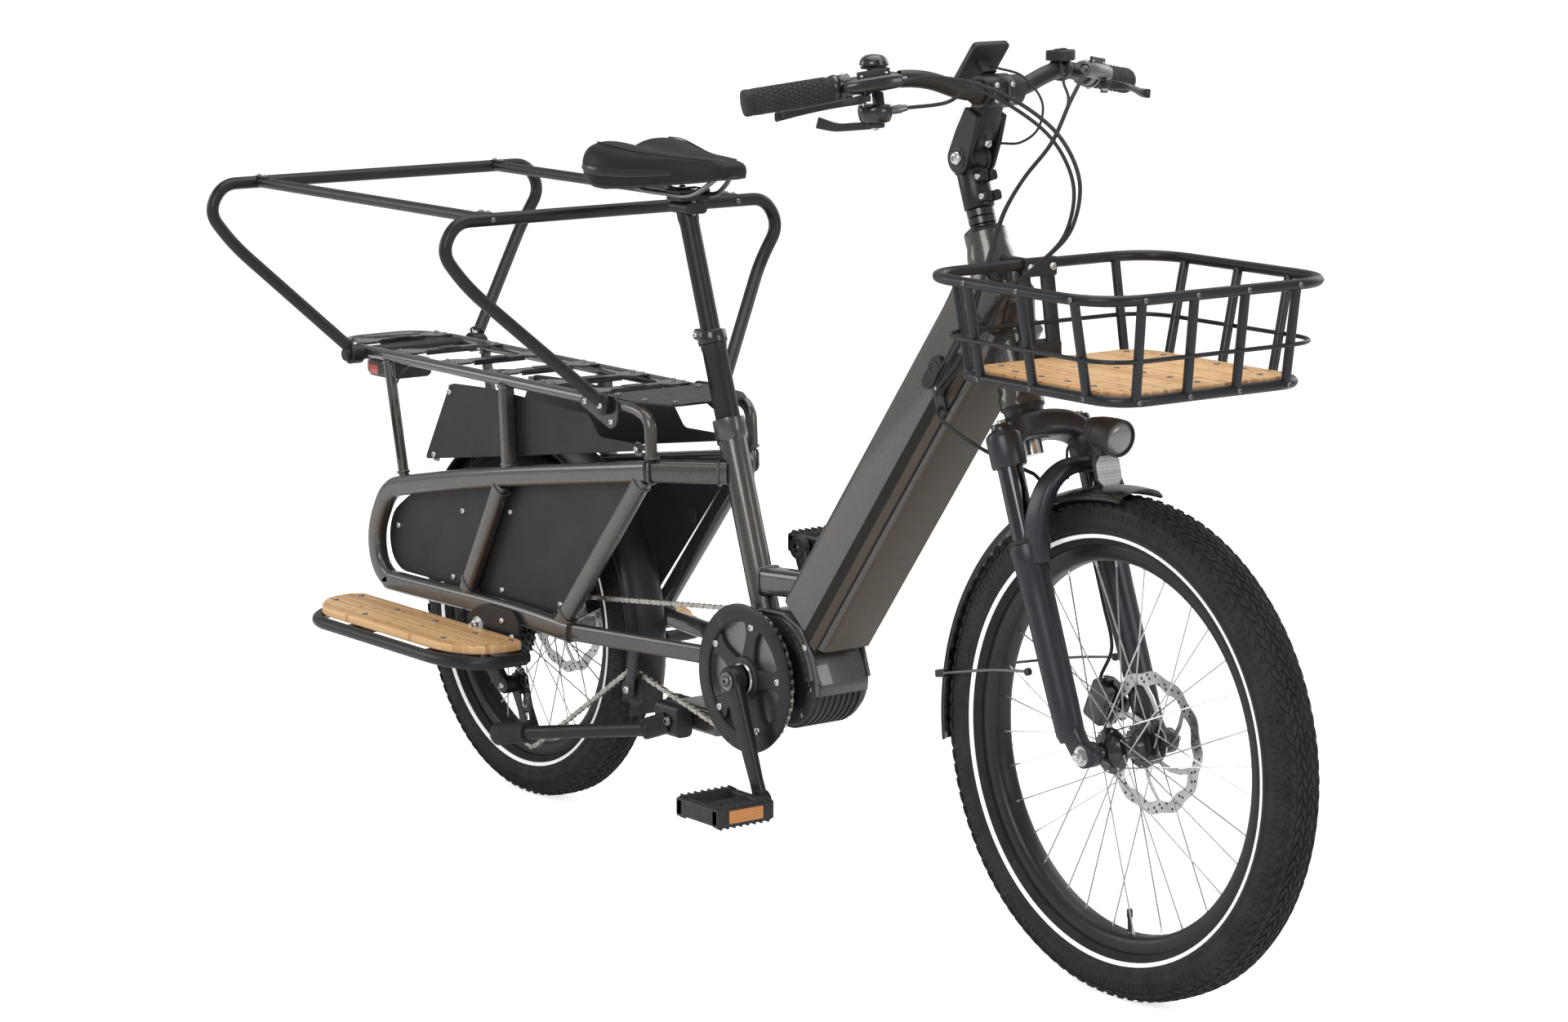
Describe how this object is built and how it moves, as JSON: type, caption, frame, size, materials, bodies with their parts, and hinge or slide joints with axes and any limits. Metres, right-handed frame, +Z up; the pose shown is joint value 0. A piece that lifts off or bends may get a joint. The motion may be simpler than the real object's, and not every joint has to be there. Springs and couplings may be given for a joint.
{
  "type": "cargo bicycle",
  "caption": "Longtail electric cargo bicycle with step-through battery frame, front tube basket, bamboo foot boards, passenger railing, suspension fork and folded double-leg stand.",
  "frame": {"origin": "on the ground, under the middle of the bicycle's length", "axes": "+X forwards along the bicycle, +Y to the rider's left, +Z up"},
  "size_m": [2.0467, 0.644, 1.1731],
  "materials": {
    "frame_paint": "dark grey gloss paint on welded aluminium tube",
    "black_metal": "black anodised or powder coated, satin",
    "black_plastic": "fine grained moulded black",
    "rubber": "soft matt black",
    "tyre": "matt black with block tread",
    "bamboo": "clear coated bamboo slats",
    "alloy": "bare metal, brushed",
    "steel": "bare metal, oiled",
    "red_lens": "red lens in a black case",
    "battery_case": "dark gloss case"
  },
  "bodies": {
    "frame": {"main_frame": "frame_paint", "side_frame_left": "frame_paint", "side_frame_right": "frame_paint", "rack": "black_metal", "rear_hoop": "black_metal", "front_hoop": "black_metal", "railing_bar_left": "black_metal", "railing_bar_right": "black_metal", "side_panel_left": "black_plastic", "side_panel_right": "black_plastic", "rear_mudguard": "black_plastic", "tail_light": "red_lens", "rear_caliper": "black_metal", "motor": "black_metal", "battery": "battery_case", "foot_frame_left": "black_metal", "foot_frame_right": "black_metal", "foot_board_left": "bamboo", "foot_board_right": "bamboo", "basket": "black_metal", "basket_floor": "bamboo", "derailleur": "black_metal", "chain": "steel", "cables_left": "rubber", "cables_right": "rubber"},
    "steering": {"fork_crown": "black_metal", "stem_base": "black_metal"},
    "cockpit": {"stem_arm": "black_metal", "handlebar": "black_metal", "grip_left": "rubber", "grip_right": "rubber", "brake_mount_left": "black_metal", "brake_mount_right": "black_metal", "bell": "black_metal", "display": "black_plastic"},
    "lever_left": {"brake_lever_left": "black_metal"},
    "lever_right": {"brake_lever_right": "black_metal"},
    "gear_shift": {"shifter_lever": "black_plastic"},
    "fork_legs": {"fork_lowers": "black_metal", "headlight": "black_plastic", "front_mudguard": "black_plastic", "front_caliper": "black_metal"},
    "wheel_front": {"front_tyre": "tyre", "front_wheel": "alloy"},
    "wheel_rear": {"rear_tyre": "tyre", "rear_wheel": "alloy"},
    "cranks": {"crankset": "black_metal", "chainring": "black_metal"},
    "pedal_r": {"pedal_right": "black_plastic"},
    "pedal_l": {"pedal_left": "black_plastic"},
    "sprockets": {"cassette": "alloy"},
    "idler": {"chain_idler": "black_plastic"},
    "cage": {"derailleur_cage": "black_metal"},
    "upper_pulley": {"guide_pulley": "black_plastic"},
    "lower_pulley": {"tension_pulley": "black_plastic"},
    "stand": {"kickstand": "black_metal"},
    "seat_tube_sleeve": {"seat_sleeve": "black_metal"},
    "seat": {"seat_post": "black_metal", "saddle": "black_plastic"},
    "charge_cap": {"charge_flap": "rubber"}
  },
  "joints": [
    {"name": "steering_turn", "type": "hinge", "parent": "frame", "child": "steering", "pos_m": [0.50089, 0, 0.7186], "axis": [-0.342, 0, 0.9397], "range_deg": [-60, 60], "deforming": ["cables_left", "cables_right"]},
    {"name": "stem_tilt", "type": "hinge", "parent": "steering", "child": "cockpit", "pos_m": [0.39695, 0, 1.024], "axis": [0, 1, 0], "range_deg": [-20, 40]},
    {"name": "brake_right_pull", "type": "hinge", "parent": "cockpit", "child": "lever_right", "pos_m": [0.42476, -0.19764, 1.10934], "axis": [0, 0, -1], "range_deg": [0, 10], "stiffness_Nm_per_rad": 0.8, "springref_deg": -11.46},
    {"name": "brake_left_pull", "type": "hinge", "parent": "cockpit", "child": "lever_left", "pos_m": [0.42476, 0.19764, 1.10934], "axis": [0, 0, 1], "range_deg": [0, 10], "stiffness_Nm_per_rad": 0.8, "springref_deg": -11.46},
    {"name": "gear_push", "type": "hinge", "parent": "cockpit", "child": "gear_shift", "pos_m": [0.40946, -0.16807, 1.07426], "axis": [0, 0, 1], "range_deg": [0, 20], "stiffness_Nm_per_rad": 0.5, "springref_deg": -11.46},
    {"name": "fork_travel", "type": "slide", "parent": "steering", "child": "fork_legs", "axis": [-0.342, 0, 0.9397], "range_m": [0, 0.04], "stiffness_N_per_m": 9000, "springref_m": -0.035},
    {"name": "front_wheel_spin", "type": "hinge", "parent": "fork_legs", "child": "wheel_front", "pos_m": [0.70755, 0, 0.316], "axis": [0, 1, 0], "continuous": true},
    {"name": "rear_wheel_spin", "type": "hinge", "parent": "frame", "child": "wheel_rear", "pos_m": [-0.58705, 0, 0.2655], "axis": [0, 1, 0], "continuous": true},
    {"name": "crank_spin", "type": "hinge", "parent": "frame", "child": "cranks", "pos_m": [0.00345, 0, 0.286], "axis": [0, 1, 0], "continuous": true},
    {"name": "pedal_right_spin", "type": "hinge", "parent": "cranks", "child": "pedal_r", "pos_m": [0.08063, 0, 0.13453], "axis": [0, 1, 0], "continuous": true},
    {"name": "pedal_left_spin", "type": "hinge", "parent": "cranks", "child": "pedal_l", "pos_m": [-0.07373, 0, 0.43747], "axis": [0, 1, 0], "continuous": true},
    {"name": "sprocket_spin", "type": "hinge", "parent": "frame", "child": "sprockets", "pos_m": [-0.58705, 0, 0.2655], "axis": [0, 1, 0], "continuous": true},
    {"name": "idler_spin", "type": "hinge", "parent": "frame", "child": "idler", "pos_m": [-0.26505, -0.055, 0.222], "axis": [0, 1, 0], "continuous": true},
    {"name": "cage_swing", "type": "hinge", "parent": "frame", "child": "cage", "pos_m": [-0.55705, -0.055, 0.178], "axis": [0, 1, 0], "range_deg": [-10, 30], "stiffness_Nm_per_rad": 2, "deforming": ["chain"]},
    {"name": "upper_pulley_spin", "type": "hinge", "parent": "cage", "child": "upper_pulley", "pos_m": [-0.55705, -0.055, 0.178], "axis": [0, 1, 0], "continuous": true},
    {"name": "lower_pulley_spin", "type": "hinge", "parent": "cage", "child": "lower_pulley", "pos_m": [-0.52505, -0.055, 0.108], "axis": [0, 1, 0], "continuous": true},
    {"name": "stand_fold", "type": "hinge", "parent": "frame", "child": "stand", "pos_m": [-0.16705, 0, 0.195], "axis": [0, -1, 0], "range_deg": [0, 122]},
    {"name": "sleeve_height", "type": "slide", "parent": "frame", "child": "seat_tube_sleeve", "axis": [-0.3254, 0, 0.9456], "range_m": [-0.035, 0.1]},
    {"name": "seat_height", "type": "slide", "parent": "seat_tube_sleeve", "child": "seat", "axis": [-0.3254, 0, 0.9456], "range_m": [-0.1, 0.05]},
    {"name": "charge_cap_open", "type": "hinge", "parent": "frame", "child": "charge_cap", "pos_m": [0.36884, -0.0458, 0.73654], "axis": [0.7986, 0, -0.6018], "range_deg": [0, 90]}
  ],
  "couplings": [
    {"joint": "sprocket_spin", "follows": "crank_spin", "ratio": 2.0778},
    {"joint": "idler_spin", "follows": "crank_spin", "ratio": -3.5962},
    {"joint": "upper_pulley_spin", "follows": "crank_spin", "ratio": -4.675},
    {"joint": "lower_pulley_spin", "follows": "crank_spin", "ratio": 4.675}
  ]
}
